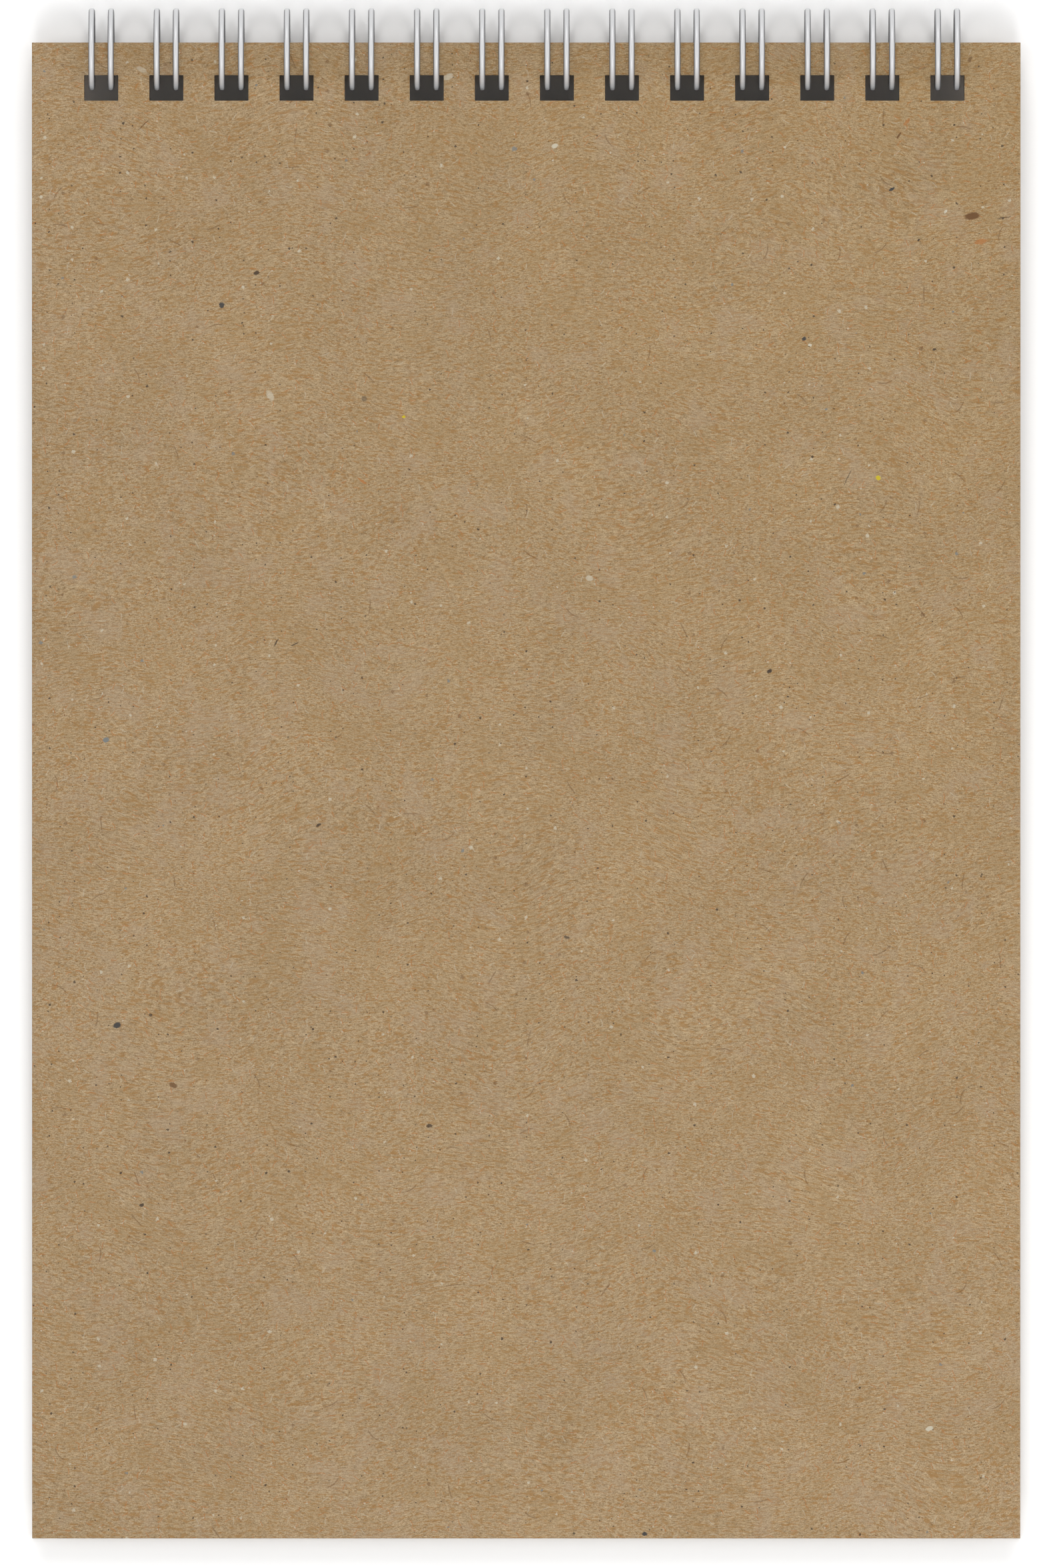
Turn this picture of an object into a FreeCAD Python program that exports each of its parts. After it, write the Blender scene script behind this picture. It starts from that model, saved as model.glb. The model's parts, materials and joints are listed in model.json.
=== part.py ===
"""Top-bound sketchbook: two kraft covers and a block of loose sheets on one twin-loop wire.

Every leaf (cover or sheet) is punched with the same row of rectangular holes, and one continuous
steel wire runs through all of them as a row of closed double loops. The loops are round, so a leaf
turns about the loops' common centre line and keeps the same place on the wire at every angle.

The pad frame has its origin on that centre line, +X along the binding, +Y past the top edge and +Z
out of the front cover. The row frame is the pad as it lies on a desk: it stands on its loops and on
the far edge of the back cover, so the pad frame is tipped a little, with Z = 0 at the desk.
Lengths are millimetres and angles are degrees.
"""

import FreeCAD, Part

import math
import os

# Leaves
COVER_WIDTH = 128.6
COVER_HEIGHT = 194.6
COVER_THICKNESS = 0.55
SHEET_COUNT = 20
SHEET_THICKNESS = 0.19
LEAF_GAP = 0.007
SHEET_INSET_SIDE = 1.0
SHEET_INSET_BOTTOM = 1.5

# Row of loops: 3 to the inch, and as many as the cover's width takes
PITCH = 25.4 / 3
ROW_MARGIN = 8.0
ROW_OFFSET = -0.24

# Twin-loop wire
WIRE_DIAMETER = 0.8
LOOP_SPACING = 2.5
BEND_RADIUS = 1.4
SEAM_ANGLE = -112.0

# Where the loops' centre line runs, measured from the covers' top edge, and the board above each hole
EDGE_PAST_CENTRE = 0.86
HOLE_MARGIN = 4.25

# Clearances
WIRE_PLAY = 0.1
HOLE_SIDE_PLAY = 0.55
HOLE_END_PLAY = 1.33
FLIP_CLEARANCE = 0.03
SHEET_EDGE_CLEARANCE = 0.28
SEAM_CLEARANCE = 0.15

X = FreeCAD.Vector(1, 0, 0)

block_thickness = SHEET_COUNT * SHEET_THICKNESS + (SHEET_COUNT + 1) * LEAF_GAP
stack_thickness = block_thickness + 2 * COVER_THICKNESS

# The front cover, turned right over, comes down inside the back cover's top strip. Its outer face
# is therefore nearer the centre line than the back cover's inner face, by what its corner sweeps.
back_reach = COVER_THICKNESS + FLIP_CLEARANCE
back_outer = (stack_thickness**2 + EDGE_PAST_CENTRE**2 - back_reach**2) / (2 * (stack_thickness - back_reach))
back_z = -back_outer
block_z = back_z + COVER_THICKNESS + LEAF_GAP
front_z = back_z + COVER_THICKNESS + block_thickness
front_outer = front_z + COVER_THICKNESS

# The loops clear the corner of the back cover's holes, which is the leaf corner nearest to them.
wire_radius = WIRE_DIAMETER / 2
strip_reach = HOLE_MARGIN - EDGE_PAST_CENTRE
loop_radius = math.hypot(strip_reach, back_outer) + WIRE_PLAY + wire_radius
loop_outer = loop_radius + wire_radius

cover_top = EDGE_PAST_CENTRE
cover_bottom = cover_top - COVER_HEIGHT
sheet_top = -(EDGE_PAST_CENTRE + SHEET_EDGE_CLEARANCE)
sheet_bottom = cover_bottom + SHEET_INSET_BOTTOM
hole_top = -strip_reach
hole_bottom = -(loop_outer + HOLE_END_PLAY)
hole_width = LOOP_SPACING + WIRE_DIAMETER + 2 * HOLE_SIDE_PLAY
loop_count = 1 + int((COVER_WIDTH - 2 * ROW_MARGIN) / PITCH)
loop_centres = [ROW_OFFSET + (i - (loop_count - 1) / 2) * PITCH for i in range(loop_count)]


def rest_tilt():
    """How far the pad tips to lie on its loops and on the back cover's far edge."""
    far_reach = -cover_bottom
    desk_angle = math.asin(loop_outer / math.hypot(far_reach, back_outer))
    return math.degrees(desk_angle - math.atan2(back_outer, far_reach))


def row_placement():
    """The pad frame's place in the row frame, with the middle of the pad's box over the origin."""
    tilt = math.radians(rest_tilt())
    far_y = cover_bottom * math.cos(tilt) - front_outer * math.sin(tilt)
    middle_y = (loop_outer + far_y) / 2
    return FreeCAD.Placement(
        FreeCAD.Vector(0, -middle_y, loop_outer),
        FreeCAD.Rotation(X, rest_tilt()),
    )


def rectangle(left, right, bottom, top, z):
    corners = [(left, bottom), (right, bottom), (right, top), (left, top)]
    points = [FreeCAD.Vector(x, y, z) for x, y in corners]
    return Part.makePolygon([*points, points[0]])


def leaf(width, bottom, top, z, thickness):
    """A flat leaf with the row of holes, its lower face at z."""
    outline = rectangle(-width / 2, width / 2, bottom, top, z)
    half = hole_width / 2
    holes = [rectangle(x - half, x + half, hole_bottom, hole_top, z) for x in loop_centres]
    face = Part.makeFace([outline, *holes], "Part::FaceMakerBullseye")
    return face.extrude(FreeCAD.Vector(0, 0, thickness))


def cover(z):
    return leaf(COVER_WIDTH, cover_bottom, cover_top, z, COVER_THICKNESS)


def sheet(number):
    """Sheet 1 lies under the front cover, and the last one on the back cover."""
    below = SHEET_COUNT - number
    z = block_z + below * (SHEET_THICKNESS + LEAF_GAP)
    return leaf(COVER_WIDTH - 2 * SHEET_INSET_SIDE, sheet_bottom, sheet_top, z, SHEET_THICKNESS)


def on_loop(x, angle):
    """A point on the middle line of a loop's wire; the angle is 0 past the top edge and 90 at the front."""
    turn = math.radians(angle)
    return FreeCAD.Vector(x, loop_radius * math.cos(turn), loop_radius * math.sin(turn))


def along_loop(angle):
    """The wire's direction as it leaves the seam: under the back cover, up through the holes and over."""
    turn = math.radians(angle)
    return FreeCAD.Vector(0, math.sin(turn), -math.cos(turn))


def wire_path():
    """The middle line of the wire: a bar, up one side of a loop, round its tip, back down, and on."""
    half = LOOP_SPACING / 2
    tip_to_bend = half + BEND_RADIUS + WIRE_DIAMETER + SEAM_CLEARANCE
    tip_before_bend = math.sqrt(tip_to_bend**2 - (half + BEND_RADIUS) ** 2)
    start_angle = SEAM_ANGLE - math.degrees(BEND_RADIUS / loop_radius)
    tip_angle = start_angle - 360 + math.degrees(tip_before_bend / loop_radius)
    from_seam = along_loop(start_angle)
    over_tip = along_loop(tip_angle)
    along_bend = BEND_RADIUS * math.sqrt(0.5)
    bar_height = on_loop(0, start_angle) - from_seam * BEND_RADIUS

    def bend(x, side):
        """The arc from the bar to the loop's side at x, which is its left (-1) or its right (1)."""
        foot = on_loop(x, start_angle)
        bar_end = bar_height + X * (x + side * BEND_RADIUS)
        middle = foot + X * side * (BEND_RADIUS - along_bend) - from_seam * along_bend
        return bar_end, middle, foot

    def round_loop(x):
        """The two arcs that follow the loop at x from its foot to its tip, as five points."""
        quarter = (tip_angle - start_angle) / 4
        return [on_loop(x, start_angle + quarter * step) for step in range(5)]

    edges = []
    at = bar_height + X * (loop_centres[0] - PITCH / 2)
    for centre in loop_centres:
        bar_end, middle, foot = bend(centre - half, -1)
        edges.append(Part.LineSegment(at, bar_end))
        edges.append(Part.Arc(bar_end, middle, foot))
        up = round_loop(centre - half)
        edges.append(Part.Arc(*up[:3]))
        edges.append(Part.Arc(*up[2:]))
        tip = on_loop(centre, tip_angle) + over_tip * half
        down = round_loop(centre + half)[::-1]
        edges.append(Part.Arc(up[-1], tip, down[0]))
        edges.append(Part.Arc(*down[:3]))
        edges.append(Part.Arc(*down[2:]))
        at, middle, foot = bend(centre + half, 1)
        edges.append(Part.Arc(foot, middle, at))
    edges.append(Part.LineSegment(at, bar_height + X * (loop_centres[-1] + PITCH / 2)))
    return Part.Wire([edge.toShape() for edge in edges])


def binding_wire():
    """One round wire swept along its path, with both ends cut square."""
    path = wire_path()
    start = path.OrderedVertexes[0].Point
    section = Part.Wire([Part.makeCircle(wire_radius, start, X)])
    tube = path.makePipeShell([section], True, False)
    swept = math.pi * wire_radius**2 * path.Length
    print(f"binding wire: {path.Length:.1f} mm long, volume {tube.Volume:.2f} against {swept:.2f} mm3")
    return tube


def main():
    nodes = {"front_cover": cover(front_z), "back_cover": cover(back_z), "binding_wire": binding_wire()}
    for number in range(1, SHEET_COUNT + 1):
        nodes[f"sheet_{number:02d}"] = sheet(number)
    place = row_placement()
    os.makedirs("parts", exist_ok=True)
    for name, shape in nodes.items():
        shape.Placement = place.multiply(shape.Placement)
        if not (shape.isValid() and shape.Volume > 0):
            raise SystemExit(f"{name} is not a valid solid")
        shape.exportStep(f"parts/{name}.step")
    print(f"stack {stack_thickness:.3f}, loops {2 * loop_outer:.3f} across, tilt {rest_tilt():.4f} degrees")
    print(f"centre line at y {place.Base.y:.4f}, z {place.Base.z:.4f}")


main()
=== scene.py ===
"""The looks of a top-bound sketchbook: kraft board covers, loose drawing sheets and a twin-loop wire."""
import json
import math
import random

import bmesh
import bpy
from mathutils import Matrix, Vector


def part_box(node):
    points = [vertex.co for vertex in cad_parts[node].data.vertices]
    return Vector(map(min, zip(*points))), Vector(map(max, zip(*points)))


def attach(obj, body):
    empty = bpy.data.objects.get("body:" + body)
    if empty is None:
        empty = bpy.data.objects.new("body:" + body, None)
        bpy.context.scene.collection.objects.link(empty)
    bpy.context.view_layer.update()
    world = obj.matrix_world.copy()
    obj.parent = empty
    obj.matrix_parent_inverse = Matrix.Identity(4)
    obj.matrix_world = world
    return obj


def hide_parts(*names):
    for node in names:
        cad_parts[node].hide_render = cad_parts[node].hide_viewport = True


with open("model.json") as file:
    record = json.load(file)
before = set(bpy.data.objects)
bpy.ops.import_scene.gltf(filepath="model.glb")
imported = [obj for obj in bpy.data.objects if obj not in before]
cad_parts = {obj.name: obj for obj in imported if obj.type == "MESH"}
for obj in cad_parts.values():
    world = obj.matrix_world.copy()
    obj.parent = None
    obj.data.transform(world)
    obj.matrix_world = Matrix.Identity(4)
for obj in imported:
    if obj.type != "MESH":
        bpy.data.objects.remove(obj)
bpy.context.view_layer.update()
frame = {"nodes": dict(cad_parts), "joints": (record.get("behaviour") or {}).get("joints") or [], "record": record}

MM = 0.001
ROUNDING = 0.001 * MM

# The wire, as the CAD part bends it. The seam's angle is in degrees from straight up the pad.
WIRE_DIAMETER = 0.8 * MM
LOOP_PITCH = 25.4 / 3 * MM
LOOP_SPACING = 2.5 * MM
BEND_RADIUS = 1.4 * MM
SEAM_ANGLE = -112.0
SEAM_CLEARANCE = 0.15 * MM
WIRE_SIDES = 20
WIRE_END_CHAMFER = 0.08 * MM
BEND_STEPS = 10
LOOP_STEPS = 110

# Cut edges: how far each is rounded, how far a sheet's outline may be trimmed off its true line, the least
# angle in radians of an edge that is rounded, and how near the outline a wall is an outer edge
BOARD_EDGE_ROUND = 0.07 * MM
PAPER_EDGE_ROUND = 0.03 * MM
SHEET_TRIM = 0.12 * MM
EDGE_ROUND_STEPS = 3
SHARP_ANGLE = 1.0
OUTLINE_RIM = 0.2 * MM

# Studio. Light level is how bright a white surface that faces up looks. The room goes from its brightness at
# the horizon to that overhead between two heights of the view's direction. The lights' angles are in degrees.
CAMERA_LENS = 800.0
CAMERA_SENSOR = 36.0
CAMERA_REACH = 20.0
IMAGE_HEIGHT = 203.9 * MM
BOARD_RIGHT_OF_CENTRE = 0.48 * MM
BOARD_BELOW_CENTRE = 0.87 * MM
FLOOR_REACH = 3.0
FLOOR_DARK = (0.91, 0.91, 0.91, 1)
FLOOR_PALE = (0.95, 0.95, 0.95, 1)
LIGHT_LEVEL = 1.38
ROOM_AT_HORIZON = 1.0
ROOM_OVERHEAD = 0.35
HORIZON_ENDS = 0.1
OVERHEAD_STARTS = 0.6
SOFT_LIGHT_RISE = 48
SOFT_LIGHT_SPREAD = 34
SOFT_LIGHTS = {"far": 1.3, "right": 0.6, "near": 1.3, "left": 0.6}

bodies = {node: body for body, nodes in frame["record"]["behaviour"]["bodies"].items() for node in nodes}
sheets = sorted(node for node in frame["nodes"] if node.startswith("sheet_"))


def pad_placement():
    """The pad's own frame: on the loops' centre line, along the binding, and up through the front cover."""
    pivot = Vector(frame["joints"][0]["pos_m"])
    edge = next(mount for mount in frame["record"]["mounts"] if mount["name"] == "bottom_edge")
    towards_top = -Vector(edge["axis"])
    tilt = math.atan2(towards_top.z, towards_top.y)
    return Matrix.Translation(pivot) @ Matrix.Rotation(tilt, 4, "X")


PAD = pad_placement()
TO_PAD = PAD.inverted()


# Shapes

def distinct(values):
    """The values in order, with those that differ only by rounding taken as one."""
    found = []
    for value in sorted(values):
        if not found or value - found[-1] > ROUNDING:
            found.append(value)
    return found


def leaf_edges(node):
    """A leaf's edges, its holes' edges and its two faces, as distances along X, Y and Z of the pad."""
    corners = [TO_PAD @ vertex.co for vertex in frame["nodes"][node].data.vertices]
    return [distinct(corner[axis] for corner in corners) for axis in range(3)]


def new_piece(name, mesh, node):
    """An object in the pad's frame that stands for a node and rides on its body."""
    piece = bpy.data.objects.new(name, mesh)
    bpy.context.scene.collection.objects.link(piece)
    piece.matrix_world = PAD
    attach(piece, bodies[node])
    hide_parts(node)
    return piece


def leaf_mesh(name, node, edge_round, trim=(0.0, 0.0, 0.0)):
    """A slab with a row of holes and rounded edges. Trim moves its left, right and bottom edges."""
    across, along, through = leaf_edges(node)
    low, high = through[0], through[-1]
    across[0] += trim[0]
    across[-1] += trim[1]
    along[0] += trim[2]
    mesh = bpy.data.meshes.new(name)
    shape = bmesh.new()
    grid = [[shape.verts.new((x, y, low)) for y in along] for x in across]
    for i in range(len(across) - 1):
        for j in range(len(along) - 1):
            is_hole = i % 2 == 1 and j == 1
            if is_hole:
                continue
            corners = (grid[i][j], grid[i][j + 1], grid[i + 1][j + 1], grid[i + 1][j])
            shape.faces.new(corners)
    raised = bmesh.ops.extrude_face_region(shape, geom=shape.faces[:])
    top = [item for item in raised["geom"] if isinstance(item, bmesh.types.BMVert)]
    bmesh.ops.translate(shape, verts=top, vec=(0, 0, high - low))
    bmesh.ops.recalc_face_normals(shape, faces=shape.faces[:])
    sharp = [edge for edge in shape.edges if edge.calc_face_angle(0) > SHARP_ANGLE]
    rounding = {"offset": edge_round, "segments": EDGE_ROUND_STEPS, "profile": 0.5}
    bmesh.ops.bevel(shape, geom=sharp, affect="EDGES", **rounding)
    for face in shape.faces:
        face.smooth = True
        face.material_index = face_kind(face, across, along)
    shape.to_mesh(mesh)
    shape.free()
    return mesh


def face_kind(face, across, along):
    """0 on a leaf's faces, 1 on its outer cut edges and 2 on the walls of its holes."""
    lies_flat = abs(face.normal.z) > 0.5
    if lies_flat:
        return 0
    centre = face.calc_center_median()
    inside_x = across[0] + OUTLINE_RIM < centre.x < across[-1] - OUTLINE_RIM
    inside_y = along[0] + OUTLINE_RIM < centre.y < along[-1] - OUTLINE_RIM
    return 2 if inside_x and inside_y else 1


def wire_route():
    """Points along the middle of the wire, with the loops in the order that the wire makes them."""
    corners = [TO_PAD @ vertex.co for vertex in frame["nodes"]["binding_wire"].data.vertices]
    left = min(corner.x for corner in corners)
    right = max(corner.x for corner in corners)
    radius = max(corner.z for corner in corners) - WIRE_DIAMETER / 2
    count = round((right - left) / LOOP_PITCH)
    half = LOOP_SPACING / 2
    tip_to_bend = half + BEND_RADIUS + WIRE_DIAMETER + SEAM_CLEARANCE
    tip_before_bend = math.sqrt(tip_to_bend**2 - (half + BEND_RADIUS) ** 2)
    foot = math.radians(SEAM_ANGLE) - BEND_RADIUS / radius
    tip = foot - 2 * math.pi + tip_before_bend / radius

    def on_loop(x, angle):
        return Vector((x, radius * math.cos(angle), radius * math.sin(angle)))

    def along_loop(angle):
        return Vector((0, math.sin(angle), -math.cos(angle)))

    x_axis = Vector((1, 0, 0))
    bar = on_loop(0, foot) - along_loop(foot) * BEND_RADIUS
    points = [bar + x_axis * left]
    for index in range(count):
        centre = left + LOOP_PITCH * (index + 0.5)
        for step in range(BEND_STEPS):
            turn = math.pi / 2 * step / BEND_STEPS
            across = centre - half - BEND_RADIUS * (1 - math.sin(turn))
            rise = along_loop(foot) * BEND_RADIUS * (1 - math.cos(turn))
            points.append(bar + x_axis * across + rise)
        for step in range(LOOP_STEPS):
            points.append(on_loop(centre - half, foot + (tip - foot) * step / LOOP_STEPS))
        for step in range(2 * BEND_STEPS):
            turn = math.pi * step / (2 * BEND_STEPS)
            rise = along_loop(tip) * half * math.sin(turn)
            points.append(on_loop(centre - half * math.cos(turn), tip) + rise)
        for step in range(LOOP_STEPS):
            points.append(on_loop(centre + half, tip + (foot - tip) * step / LOOP_STEPS))
        for step in range(BEND_STEPS + 1):
            turn = math.pi / 2 * (1 - step / BEND_STEPS)
            across = centre + half + BEND_RADIUS * (1 - math.sin(turn))
            rise = along_loop(foot) * BEND_RADIUS * (1 - math.cos(turn))
            points.append(bar + x_axis * across + rise)
    points.append(bar + x_axis * right)
    return points


def wire_mesh(name):
    """A round wire swept along its route, with both cut ends closed and lightly chamfered."""
    points = wire_route()
    radius = WIRE_DIAMETER / 2
    chamfer = WIRE_END_CHAMFER
    inward = (points[1] - points[0]).normalized()
    sections = [(points[0], radius - chamfer), (points[0] + inward * chamfer, radius)]
    sections += [(point, radius) for point in points[1:-1]]
    outward = (points[-1] - points[-2]).normalized()
    sections += [(points[-1] - outward * chamfer, radius), (points[-1], radius - chamfer)]
    shape = bmesh.new()
    rings = []
    side = Vector((0, 0, 1))
    for index, (point, reach) in enumerate(sections):
        before = sections[max(index - 1, 0)][0]
        after = sections[min(index + 1, len(sections) - 1)][0]
        direction = (after - before).normalized()
        side = (side - direction * side.dot(direction)).normalized()
        other = direction.cross(side)
        ring = []
        for number in range(WIRE_SIDES):
            turn = 2 * math.pi * number / WIRE_SIDES
            spoke = side * math.cos(turn) + other * math.sin(turn)
            ring.append(shape.verts.new(point + spoke * reach))
        rings.append(ring)
    for one, two in zip(rings, rings[1:]):
        for number in range(WIRE_SIDES):
            follow = (number + 1) % WIRE_SIDES
            shape.faces.new((one[number], one[follow], two[follow], two[number]))
    shape.faces.new(rings[0][::-1])
    shape.faces.new(rings[-1])
    bmesh.ops.recalc_face_normals(shape, faces=shape.faces[:])
    for face in shape.faces:
        face.smooth = len(face.verts) == 4
    mesh = bpy.data.meshes.new(name)
    shape.to_mesh(mesh)
    shape.free()
    return mesh


# Materials

# Colours as they look under the studio's light: red, green and blue from 0 to 255
PULP_DARK = (125, 96, 57)
PULP_PALE = (203, 177, 140)
PULP_ORANGE = (158, 116, 62)
PULP_GREY = (172, 150, 117)
STAIN_DARK = (158, 127, 80)
STAIN_PALE = (174, 152, 127)
BOARD_EDGE_DARK = (132, 104, 70)
BOARD_EDGE_PALE = (184, 158, 122)
# Painted shade: the hole walls are coloured dark to stand in for the shade inside the deep narrow holes
HOLE_WALL_SHADE_DARK = (46, 46, 47)
HOLE_WALL_SHADE_PALE = (74, 73, 72)
PAPER_DARK = (240, 237, 229)
PAPER_PALE = (248, 246, 240)
PAPER_EDGE_DARK = (220, 216, 206)
PAPER_EDGE_PALE = (250, 247, 240)
# Painted shade: the colour of the wire's two sides, darker to stand in for the shade down its flanks
WIRE_FLANK_SHADE = (104, 104, 106)
WIRE_CROWN_DARK = (222, 222, 223)
WIRE_CROWN_PALE = (234, 234, 235)
DARK = (62, 48, 36)
BARK = (106, 70, 34)
RUST = (176, 110, 48)
RUSSET = (122, 74, 36)
CHARCOAL = (58, 58, 58)
SLATE = (120, 124, 122)
BLEACHED = (205, 196, 174)
YELLOW = (204, 182, 24)

# The front cover's single flecks: share of its width from the left and of its height from the top,
# length and width in millimetres, turn in degrees, colour and strength.
FRONT_FLECKS = (
    (0.951, 0.116, 2.1, 1.0, 8, BARK, 0.94),
    (0.960, 0.133, 1.9, 0.7, 12, RUST, 0.69),
    (0.877, 0.062, 1.1, 0.3, 58, BARK, 0.88),
    (0.885, 0.053, 1.3, 0.45, 52, RUST, 0.62),
    (0.870, 0.098, 0.85, 0.4, 40, CHARCOAL, 0.95),
    (0.949, 0.011, 0.8, 0.45, 62, BARK, 0.62),
    (0.897, 0.132, 0.4, 0.25, 75, DARK, 0.95),
    (0.983, 0.117, 2.1, 0.14, 8, DARK, 0.69),
    (0.924, 0.113, 0.65, 0.4, 50, BLEACHED, 0.94),
    (0.913, 0.205, 0.6, 0.4, 20, DARK, 0.88),
    (0.781, 0.198, 0.7, 0.5, 30, CHARCOAL, 0.94),
    (0.787, 0.202, 0.5, 0.4, 0, BLEACHED, 0.95),
    (0.856, 0.291, 0.7, 0.6, 0, YELLOW, 0.95),
    (0.376, 0.250, 0.5, 0.4, 0, YELLOW, 0.95),
    (0.825, 0.291, 2.4, 0.16, 64, DARK, 0.62),
    (0.192, 0.1755, 0.75, 0.85, 10, CHARCOAL, 0.94),
    (0.227, 0.154, 0.8, 0.6, 15, DARK, 0.88),
    (0.241, 0.236, 0.9, 1.5, 25, BLEACHED, 0.56),
    (0.336, 0.238, 0.8, 0.75, 0, DARK, 0.5),
    (0.529, 0.069, 0.9, 0.6, 20, BLEACHED, 0.88),
    (0.488, 0.071, 0.8, 0.6, 0, SLATE, 0.75),
    (0.421, 0.023, 1.5, 0.8, 20, BLEACHED, 0.62),
    (0.746, 0.420, 0.8, 0.5, 35, DARK, 0.94),
    (0.564, 0.358, 1.0, 0.8, 0, BLEACHED, 0.62),
    (0.075, 0.466, 0.9, 0.7, 20, SLATE, 0.95),
    (0.043, 0.357, 0.6, 0.5, 0, SLATE, 0.75),
    (0.009, 0.401, 0.6, 0.5, 0, SLATE, 0.75),
    (0.290, 0.523, 0.8, 0.4, 25, DARK, 0.88),
    (0.541, 0.598, 0.8, 0.4, -20, DARK, 0.75),
    (0.086, 0.657, 1.1, 0.8, 15, CHARCOAL, 0.95),
    (0.120, 0.650, 0.5, 0.4, 0, DARK, 0.75),
    (0.143, 0.697, 1.2, 0.7, -25, BARK, 0.81),
    (0.402, 0.724, 0.9, 0.5, 10, DARK, 0.81),
    (0.111, 0.777, 0.7, 0.5, 30, DARK, 0.88),
    (0.908, 0.9265, 1.0, 0.6, 20, BLEACHED, 0.94),
    (0.620, 0.997, 0.8, 0.5, 0, CHARCOAL, 0.95),
    (0.247, 0.401, 1.2, 0.22, 60, DARK, 0.81),
    (0.266, 0.402, 1.2, 0.22, 25, DARK, 0.75),
    (0.113, 0.055, 2.2, 0.16, 45, BARK, 0.81),
    (0.334, 0.293, 1.5, 0.3, -35, RUST, 0.75),
    (0.111, 0.018, 1.5, 0.7, -25, BLEACHED, 0.5),
)


def linear(red, green, blue):
    """The surface's own linear colour that looks like this one, in 0 to 255, under the studio's light."""
    colour = []
    for value in (red, green, blue):
        share = value / 255
        seen = share / 12.92 if share <= 0.04045 else ((share + 0.055) / 1.055) ** 2.4
        colour.append(seen / LIGHT_LEVEL)
    return colour + [1.0]


class Nodes:
    """A material's node tree, built by short calls. A value is a socket, a number or a colour."""

    def __init__(self, name):
        self.material = bpy.data.materials.new(name)
        self.material.use_nodes = True
        self.tree = self.material.node_tree
        self.tree.nodes.clear()
        output = self.tree.nodes.new("ShaderNodeOutputMaterial")
        self.shader = self.tree.nodes.new("ShaderNodeBsdfPrincipled")
        self.tree.links.new(self.shader.outputs[0], output.inputs["Surface"])
        self.place = self.tree.nodes.new("ShaderNodeTexCoord").outputs["Object"]

    def put(self, socket, value):
        if isinstance(value, bpy.types.NodeSocket):
            self.tree.links.new(value, socket)
        elif value is not None:
            socket.default_value = value

    def math(self, operation, first, second=None, third=None):
        node = self.tree.nodes.new("ShaderNodeMath")
        node.operation = operation
        for socket, value in zip(node.inputs, (first, second, third)):
            self.put(socket, value)
        return node.outputs[0]

    def vector(self, operation, first, second=None, scale=None):
        node = self.tree.nodes.new("ShaderNodeVectorMath")
        node.operation = operation
        self.put(node.inputs[0], first)
        self.put(node.inputs[1], second)
        self.put(node.inputs[3], scale)
        return node.outputs[1 if operation in ("LENGTH", "DISTANCE", "DOT_PRODUCT") else 0]

    def mapping(self, place, scale=(1, 1, 1), turn=0.0, shift=(0, 0, 0)):
        node = self.tree.nodes.new("ShaderNodeMapping")
        node.vector_type = "POINT"
        self.put(node.inputs["Vector"], place)
        self.put(node.inputs["Scale"], scale)
        self.put(node.inputs["Rotation"], (0, 0, math.radians(turn)))
        self.put(node.inputs["Location"], shift)
        return node.outputs[0]

    def noise(self, place, scale, detail, roughness, colour=False):
        node = self.tree.nodes.new("ShaderNodeTexNoise")
        self.put(node.inputs["Vector"], place)
        self.put(node.inputs["Scale"], scale)
        self.put(node.inputs["Detail"], detail)
        self.put(node.inputs["Roughness"], roughness)
        return node.outputs["Color" if colour else 0]

    def cells(self, place, spacing):
        """Flat cells: the distance to the nearest one's middle, that middle, and three random shares."""
        node = self.tree.nodes.new("ShaderNodeTexVoronoi")
        node.voronoi_dimensions = "2D"
        self.put(node.inputs["Vector"], place)
        self.put(node.inputs["Scale"], 1 / spacing)
        shares = self.tree.nodes.new("ShaderNodeSeparateColor")
        self.put(shares.inputs[0], node.outputs["Color"])
        return node.outputs["Distance"], node.outputs["Position"], shares.outputs

    def parts(self, vector):
        """A vector's X, Y and Z."""
        node = self.tree.nodes.new("ShaderNodeSeparateXYZ")
        self.put(node.inputs[0], vector)
        return node.outputs

    def turned(self, vector, angle):
        """A vector turned about Z by an angle in radians."""
        node = self.tree.nodes.new("ShaderNodeVectorRotate")
        node.rotation_type = "Z_AXIS"
        self.put(node.inputs["Vector"], vector)
        self.put(node.inputs["Angle"], angle)
        return node.outputs[0]

    def band(self, value, start, end, low=0.0, high=1.0, smooth=True):
        """The value's way from start to end, as a number from low to high."""
        node = self.tree.nodes.new("ShaderNodeMapRange")
        node.interpolation_type = "SMOOTHSTEP" if smooth else "LINEAR"
        for socket, number in zip(node.inputs, (value, start, end, low, high)):
            self.put(socket, number)
        return node.outputs[0]

    def mix(self, share, under, over):
        node = self.tree.nodes.new("ShaderNodeMix")
        node.data_type = "RGBA"
        self.put(node.inputs[0], share)
        self.put(node.inputs[6], under)
        self.put(node.inputs[7], over)
        return node.outputs[2]

    def bump(self, height, strength, distance):
        node = self.tree.nodes.new("ShaderNodeBump")
        self.put(node.inputs["Strength"], strength)
        self.put(node.inputs["Distance"], distance)
        self.put(node.inputs["Height"], height)
        return node.outputs[0]

    def finish(self, **sockets):
        for name, value in sockets.items():
            self.put(self.shader.inputs[name.replace("_", " ")], value)
        return self.material


# Lengths in the materials are in millimetres, and a noise's scale is about how many of its bumps fit in one.

# How far the scattered specks of a board's underside are moved from those of its upper face, those of the
# back cover from those of the front, and the board's streaks and stains from its other noises
UNDERSIDE_SHIFT = 200.0
BACK_COVER_SHIFT = 500
STREAK_SHIFT = (11, 90, 0)
STAIN_SHIFT = (0, 300, 0)

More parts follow.
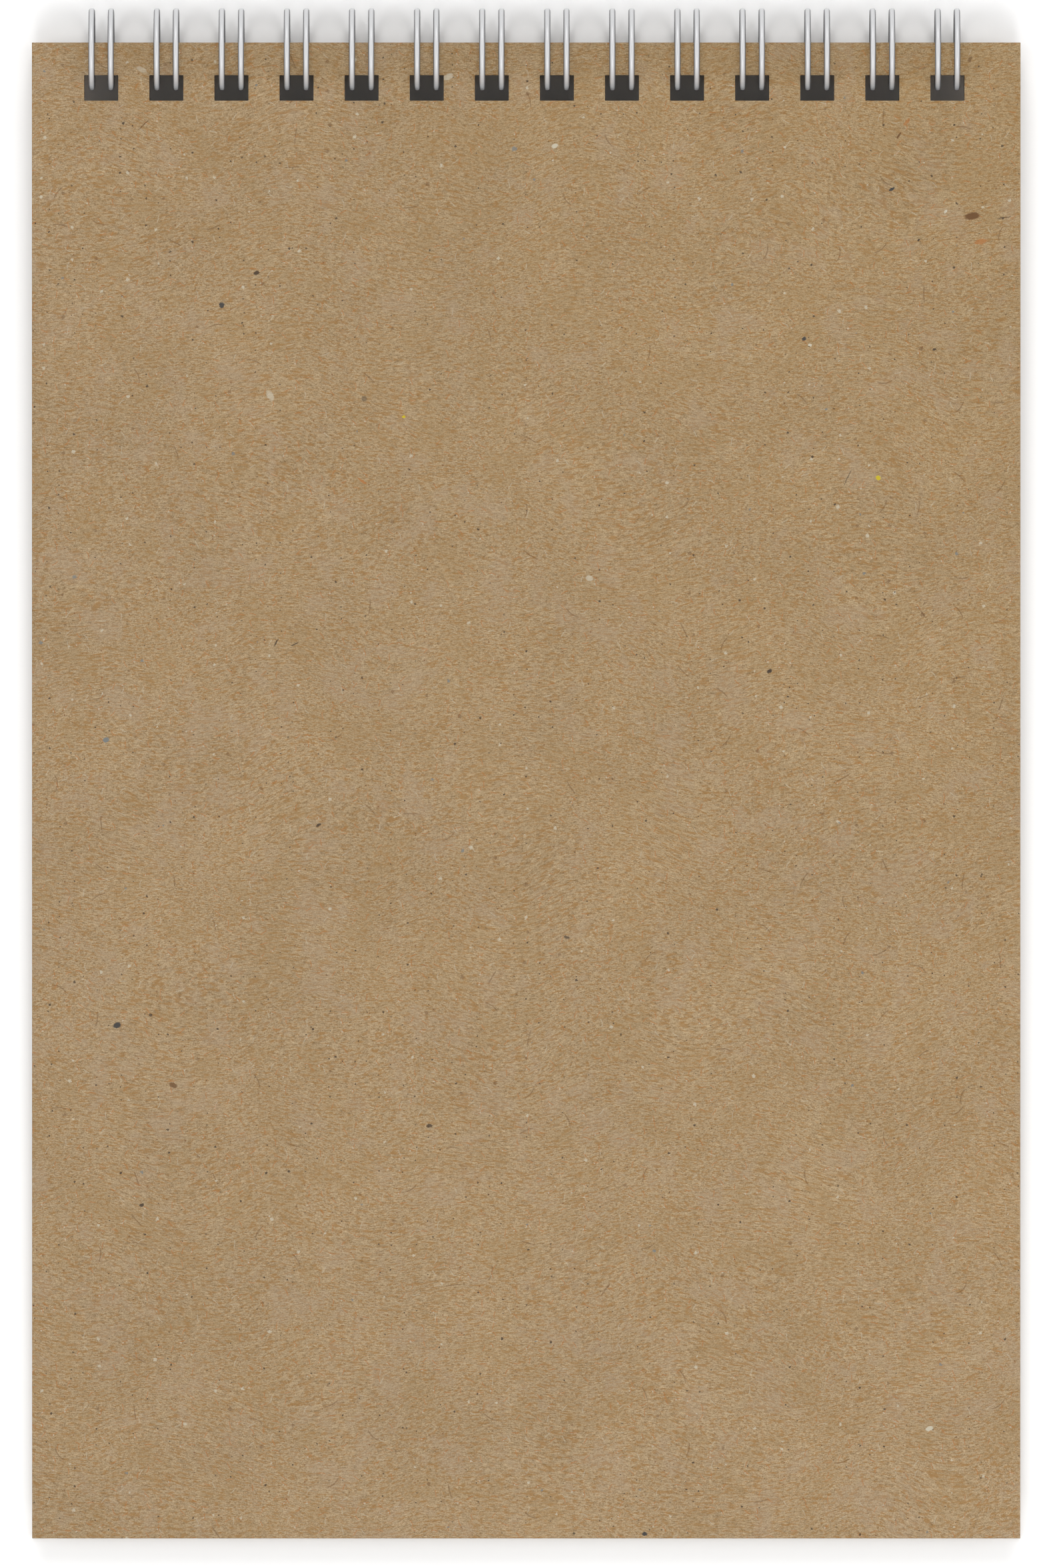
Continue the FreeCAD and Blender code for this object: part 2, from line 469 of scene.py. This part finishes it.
# How much of the pulp's height is fine grain, how long and thick its fibres are as scales along and across
# them, each layer of fibres' turn in degrees and share, and how far the fibres swirl
PULP_GRAIN = 0.42
PULP_FIBRE_SCALES = (2.1, 6.2, 1.0)
PULP_FIBRES = ((8, 0.21), (-27, 0.2), (52, 0.17))
PULP_SWIRL = 7.0

# The slow drift in tone over a board: the stretch to each side of its middle and down from the loops,
# how much paler the bottom right is, and the tint of the rest and of the top right
DRIFT_SIDEWAYS = 64.0
DRIFT_DOWN = 190.0
DRIFT_PALE = 0.075
DRIFT_LEAST = 0.975
DRIFT_TINT = (1.0, 1.0, 0.98, 1)
DRIFT_YELLOW = (0.99, 0.97, 0.87, 1)

# How far a single fleck's outline is torn, a speck's outline in shares of its radius, the smallest speck's
# share of the radius, and how far a strand of fibre bows
FLECK_TEAR = 0.35
SPECK_TEAR = 1.6
SPECK_SMALLEST = 0.4
STRAND_BOW = 0.7

# Scattered specks: spacing in millimetres, share of the places taken, radius, colour and strength
SPECKS = (
    (3.1, 0.16, 0.20, linear(*DARK), 0.85),
    (4.3, 0.14, 0.34, linear(*BARK), 0.5),
    (3.7, 0.16, 0.28, linear(*BLEACHED), 0.7),
    (1.5, 0.12, 0.15, linear(*BLEACHED), 0.55),
    (1.6, 0.18, 0.13, linear(*DARK), 0.85),
    (1.2, 0.1, 0.12, linear(*RUSSET), 0.7),
    (13.0, 0.4, 0.26, linear(*SLATE), 0.8),
)

# Scattered single fibres: spacing, share of the places taken, length, width, colour and strength
STRANDS = (
    (5.1, 0.16, 2.4, 0.15, linear(*BARK), 0.45),
    (1.5, 0.34, 1.1, 0.12, linear(*RUST), 0.5),
    (2.4, 0.22, 1.2, 0.12, linear(*BLEACHED), 0.3),
)


def front_spots():
    """The front cover's flecks in the pad's own millimetres."""
    across, along = leaf_edges("front_cover")[:2]
    width, height = across[-1] - across[0], along[-1] - along[0]
    spots = []
    for right, down, length, breadth, turn, colour, strength in FRONT_FLECKS:
        x = (across[0] + width * right) / MM
        y = (along[-1] - height * down) / MM
        spots.append((x, y, length, breadth, turn, linear(*colour), strength))
    return spots


def millimetres(n):
    """The place on the surface, in the pad's own millimetres."""
    return n.vector("SCALE", n.place, scale=1 / MM)


def pulp(n, place):
    """Matted short fibres that swirl slowly: their height, about 0 to 1, and the place they swirl to."""
    swirl = n.noise(place, scale=0.06, detail=0.0, roughness=0.5, colour=True)
    sway = n.vector("SUBTRACT", swirl, (0.5, 0.5, 0.5))
    swirled = n.vector("ADD", place, n.vector("SCALE", sway, scale=PULP_SWIRL))
    grain = n.noise(place, scale=6.2, detail=2.0, roughness=0.65)
    height = n.math("MULTIPLY", grain, PULP_GRAIN)
    for turn, share in PULP_FIBRES:
        layer = n.mapping(swirled, PULP_FIBRE_SCALES, turn=turn, shift=(turn, 0, 0))
        fibres = n.noise(layer, scale=1.0, detail=1.5, roughness=0.55)
        height = n.math("MULTIPLY_ADD", fibres, share, height)
    return height, swirled


def specks(n, under, place, spacing, share, radius, colour, strength):
    """Small spots scattered one to a cell, in a share of the cells, each with its own size."""
    uneven = n.noise(place, scale=5.0, detail=1.0, roughness=0.5, colour=True)
    ragged = n.vector("ADD", place, n.vector("SCALE", uneven, scale=radius * SPECK_TEAR))
    distance, _, shares = n.cells(ragged, spacing)
    chosen = n.math("LESS_THAN", shares[0], share)
    smallest, largest = radius * SPECK_SMALLEST / spacing, radius / spacing
    size = n.band(shares[1], 0.0, 1.0, smallest, largest, smooth=False)
    spot = n.band(n.math("DIVIDE", distance, size), 0.5, 1.1, strength, 0.0)
    return n.mix(n.math("MULTIPLY", spot, chosen), under, colour)


def strands(n, under, place, spacing, share, length, width, colour, strength):
    """Single bent fibres scattered one to a cell, each at its own angle and with its own bow."""
    _, middle, shares = n.cells(place, spacing)
    chosen = n.math("LESS_THAN", shares[0], share)
    away = n.vector("MULTIPLY", n.vector("SUBTRACT", place, middle), (1, 1, 0))
    x, y, _ = n.parts(n.turned(away, n.math("MULTIPLY", shares[1], 2 * math.pi)))
    most = STRAND_BOW / length
    bow = n.band(shares[2], 0.0, 1.0, -most, most, smooth=False)
    across = n.math("ABSOLUTE", n.math("MULTIPLY_ADD", n.math("MULTIPLY", x, x), bow, y))
    thick = n.band(across, width * 0.35, width * 0.75, strength, 0.0)
    long = n.band(n.math("ABSOLUTE", x), length * 0.3, length * 0.5, 1.0, 0.0)
    return n.mix(n.math("MULTIPLY", n.math("MULTIPLY", thick, long), chosen), under, colour)


def drift(n, colour, place):
    """A slow change over a board: a little paler to the bottom right and yellower to the top right."""
    x, y, _ = n.parts(place)
    right = n.band(x, -DRIFT_SIDEWAYS, DRIFT_SIDEWAYS, smooth=False)
    down = n.band(y, 0.0, -DRIFT_DOWN, smooth=False)
    pale = n.math("MULTIPLY_ADD", n.math("MULTIPLY", right, down), DRIFT_PALE, DRIFT_LEAST)
    yellow = n.math("MULTIPLY", right, n.math("SUBTRACT", 1.0, down))
    tint = n.mix(yellow, DRIFT_TINT, DRIFT_YELLOW)
    return n.vector("MULTIPLY", n.vector("SCALE", colour, scale=pale), tint)


def fleck(n, under, place, spot):
    """One fleck of bark, ink or bleached pulp: an ellipse with a soft edge."""
    x, y, length, width, turn, colour, strength = spot
    node = n.tree.nodes.new("ShaderNodeMapping")
    node.vector_type = "TEXTURE"
    n.put(node.inputs["Vector"], place)
    n.put(node.inputs["Location"], (x, y, 0))
    n.put(node.inputs["Rotation"], (0, 0, math.radians(turn)))
    n.put(node.inputs["Scale"], (length / 2, width / 2, 1))
    flat = n.vector("MULTIPLY", node.outputs[0], (1, 1, 0))
    inside = n.band(n.vector("LENGTH", flat), 0.7, 1.15, strength, 0.0)
    return n.mix(inside, under, colour)


def kraft_material(name, node, shift, spots=()):
    """Flecked brown board: pulp, mottling, scattered specks, and any single flecks on its upper face."""
    n = Nodes(name)
    place = millimetres(n)
    through = leaf_edges(node)[2]
    middle = (through[0] + through[-1]) / 2 / MM
    underside = n.math("LESS_THAN", n.parts(place)[2], middle)
    height, swirled = pulp(n, place)
    tone = n.band(height, 0.36, 0.64, smooth=False)
    colour = n.mix(tone, linear(*PULP_DARK), linear(*PULP_PALE))
    streaks = n.mapping(swirled, (1.1, 3.4, 1.0), shift=STREAK_SHIFT)
    hue = n.noise(streaks, scale=1.0, detail=2.5, roughness=0.6)
    colour = n.mix(n.band(hue, 0.47, 0.68, 0.0, 0.78), colour, linear(*PULP_ORANGE))
    colour = n.mix(n.band(hue, 0.5, 0.3, 0.0, 0.42), colour, linear(*PULP_GREY))
    cloud = n.noise(place, scale=0.07, detail=2.5, roughness=0.5)
    shade = n.band(cloud, 0.3, 0.7, 0.955, 1.045, smooth=False)
    colour = drift(n, n.vector("SCALE", colour, scale=shade), place)
    stain = n.noise(n.mapping(place, shift=STAIN_SHIFT), scale=0.22, detail=2.0, roughness=0.6)
    colour = n.mix(n.band(stain, 0.5, 0.68, 0.0, 0.26), colour, linear(*STAIN_DARK))
    colour = n.mix(n.band(stain, 0.48, 0.32, 0.0, 0.26), colour, linear(*STAIN_PALE))
    moved = n.vector("SCALE", (UNDERSIDE_SHIFT, UNDERSIDE_SHIFT, 0), scale=underside)
    scattered = n.vector("ADD", n.mapping(place, shift=(shift, shift, 0)), moved)
    for one in STRANDS:
        colour = strands(n, colour, scattered, *one)
    for one in SPECKS:
        colour = specks(n, colour, scattered, *one)
    uneven = n.noise(place, scale=2.6, detail=2.0, roughness=0.6, colour=True)
    tear = n.vector("SUBTRACT", uneven, (0.5, 0.5, 0.5))
    torn = n.vector("ADD", place, n.vector("SCALE", tear, scale=FLECK_TEAR))
    flecked = colour
    for one in spots:
        flecked = fleck(n, flecked, torn, one)
    if spots:
        colour = n.mix(underside, flecked, colour)
    relief = n.bump(height, strength=0.3, distance=0.05 * MM)
    return n.finish(Base_Color=colour, Roughness=0.88, Normal=relief)


def kraft_edge_material():
    """The board's cut edge: pressed plies that run along it, under a short fuzz."""
    n = Nodes("kraft_edge")
    place = millimetres(n)
    plies = n.noise(n.mapping(place, (0.5, 0.5, 9.0)), scale=1.0, detail=3.0, roughness=0.6)
    fuzz = n.noise(place, scale=4.5, detail=2.0, roughness=0.6)
    tone = n.band(n.math("MULTIPLY_ADD", plies, 0.6, n.math("MULTIPLY", fuzz, 0.4)), 0.36, 0.64)
    colour = n.mix(tone, linear(*BOARD_EDGE_DARK), linear(*BOARD_EDGE_PALE))
    relief = n.bump(tone, strength=0.6, distance=0.05 * MM)
    return n.finish(Base_Color=colour, Roughness=0.92, Normal=relief)


def hole_wall_shade_material():
    """The walls of the holes, painted dark with a faint mottle: painted shade for the inside of the deep narrow
    holes.
    """
    n = Nodes("hole_wall_painted_shade")
    place = millimetres(n)
    wall_mottle = n.noise(n.mapping(place, (0.8, 0.8, 6.0)), scale=1.0, detail=2.0, roughness=0.6)
    colour = n.mix(wall_mottle, linear(*HOLE_WALL_SHADE_DARK), linear(*HOLE_WALL_SHADE_PALE))
    relief = n.bump(wall_mottle, strength=0.4, distance=0.03 * MM)
    return n.finish(Base_Color=colour, Roughness=0.7, Normal=relief)


def paper_material(name, dark, pale, cut=False):
    """Uncoated drawing paper: a fine tooth on the faces, and close lines along the cut edges."""
    n = Nodes(name)
    place = millimetres(n)
    if cut:
        tooth = n.noise(n.mapping(place, (1.5, 1.5, 10.0)), scale=1.0, detail=2.0, roughness=0.6)
    else:
        tooth = n.noise(place, scale=4.2, detail=3.0, roughness=0.6)
    cloud = n.noise(place, scale=0.6, detail=2.0, roughness=0.5)
    tone = n.band(n.math("MULTIPLY_ADD", tooth, 0.8, n.math("MULTIPLY", cloud, 0.2)), 0.36, 0.62)
    colour = n.mix(tone, linear(*dark), linear(*pale))
    relief = n.bump(tooth, strength=0.35, distance=0.03 * MM)
    return n.finish(Base_Color=colour, Roughness=0.86, Normal=relief)


def floor_material():
    """A plain matt white floor, very faintly clouded."""
    n = Nodes("pale_floor")
    tone = n.noise(n.place, scale=6.0, detail=3.0, roughness=0.5)
    colour = n.mix(tone, FLOOR_DARK, FLOOR_PALE)
    return n.finish(Base_Color=colour, Roughness=0.95)


def wire_material():
    """Silver-coated steel: a satin coat, paler along the crown, with painted shade that darkens its two flanks
    where the surface faces sideways along X.
    """
    n = Nodes("silver_wire")
    grain = n.noise(n.place, scale=9 / MM, detail=3.0, roughness=0.6)
    normal = n.tree.nodes.new("ShaderNodeTexCoord").outputs["Normal"]
    # Painted shade: darker where the surface's normal points along X, down both sides of the wire
    flank_shade = n.band(n.math("ABSOLUTE", n.parts(normal)[0]), 0.45, 0.98)
    crown = n.mix(grain, linear(*WIRE_CROWN_DARK), linear(*WIRE_CROWN_PALE))
    colour = n.mix(flank_shade, crown, linear(*WIRE_FLANK_SHADE))
    rough = n.band(grain, 0.3, 0.7, 0.42, 0.52)
    return n.finish(Base_Color=colour, Roughness=rough, Metallic=0.35)


# Studio

def studio(board_top):
    """The floor, the room, the lights, and a camera that looks straight down on the front cover."""
    scene = bpy.context.scene
    scene.view_settings.view_transform = "Standard"
    lay_floor(scene)
    scene.world = pale_room()
    for number, (side, strength) in enumerate(SOFT_LIGHTS.items()):
        add_light("soft_light_" + side, number * math.pi / 2, strength)
    aim = bpy.data.cameras.new("camera")
    aim.sensor_width = CAMERA_SENSOR
    aim.lens = CAMERA_LENS
    aim.clip_end = CAMERA_REACH
    camera = bpy.data.objects.new("camera", aim)
    distance = IMAGE_HEIGHT * CAMERA_LENS / CAMERA_SENSOR
    camera.location = board_top + Vector((-BOARD_RIGHT_OF_CENTRE, BOARD_BELOW_CENTRE, distance))
    scene.collection.objects.link(camera)
    scene.camera = camera


def lay_floor(scene):
    reach = FLOOR_REACH
    corners = [(-reach, -reach, 0), (reach, -reach, 0), (reach, reach, 0), (-reach, reach, 0)]
    mesh = bpy.data.meshes.new("floor")
    mesh.from_pydata(corners, [], [(0, 1, 2, 3)])
    mesh.materials.append(floor_material())
    floor = bpy.data.objects.new("floor", mesh)
    scene.collection.objects.link(floor)


def pale_room():
    """White all round, brightest at the level of the floor and dimmer overhead."""
    world = bpy.data.worlds.new("room")
    world.use_nodes = True
    tree = world.node_tree
    background = tree.nodes["Background"]
    background.inputs["Color"].default_value = (1, 1, 1, 1)
    direction = tree.nodes.new("ShaderNodeTexCoord").outputs["Generated"]
    parts = tree.nodes.new("ShaderNodeSeparateXYZ")
    tree.links.new(direction, parts.inputs[0])
    fall = tree.nodes.new("ShaderNodeMapRange")
    fall.interpolation_type = "SMOOTHSTEP"
    tree.links.new(parts.outputs[2], fall.inputs[0])
    settings = (HORIZON_ENDS, OVERHEAD_STARTS, ROOM_AT_HORIZON, ROOM_OVERHEAD)
    for socket, number in zip(list(fall.inputs)[1:5], settings):
        socket.default_value = number
    tree.links.new(fall.outputs[0], background.inputs["Strength"])
    return world


def add_light(name, turn, strength):
    """A soft light far off, in the direction that is the given turn from the far side."""
    data = bpy.data.lights.new(name, "SUN")
    data.angle = math.radians(SOFT_LIGHT_SPREAD)
    data.energy = strength
    light = bpy.data.objects.new(name, data)
    rise = math.radians(SOFT_LIGHT_RISE)
    level = Vector((math.sin(turn), math.cos(turn), 0)) * math.cos(rise)
    source = level + Vector((0, 0, math.sin(rise)))
    light.rotation_euler = source.to_track_quat("Z", "Y").to_euler()
    bpy.context.scene.collection.objects.link(light)


# The object

random.seed(7)
kraft_front = kraft_material("kraft_front", "front_cover", 0, spots=front_spots())
kraft_back = kraft_material("kraft_back", "back_cover", BACK_COVER_SHIFT)
kraft_edge = kraft_edge_material()
# The hole walls' material is painted shade, a dark colour standing in for the shade inside the holes
hole_wall_shade = hole_wall_shade_material()
paper = paper_material("drawing_paper", PAPER_DARK, PAPER_PALE)
paper_edge = paper_material("paper_edge", PAPER_EDGE_DARK, PAPER_EDGE_PALE, cut=True)

for node, name in (("front_cover", "front_cover_board"), ("back_cover", "back_cover_board")):
    piece = new_piece(name, leaf_mesh(name, node, BOARD_EDGE_ROUND), node)
    face = kraft_front if node == "front_cover" else kraft_back
    for material in (face, kraft_edge, hole_wall_shade):
        piece.data.materials.append(material)

for node in sheets:
    trim = [random.uniform(-SHEET_TRIM, SHEET_TRIM) for _ in range(3)]
    name = node.replace("sheet", "paper_sheet")
    piece = new_piece(name, leaf_mesh(name, node, PAPER_EDGE_ROUND, trim), node)
    for material in (paper, paper_edge, hole_wall_shade):
        piece.data.materials.append(material)

wire = new_piece("twin_loop_wire", wire_mesh("twin_loop_wire"), "binding_wire")
wire.data.materials.append(wire_material())

low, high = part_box("front_cover")
board_top = (low + high) / 2
board_top.z = high.z
studio(board_top)
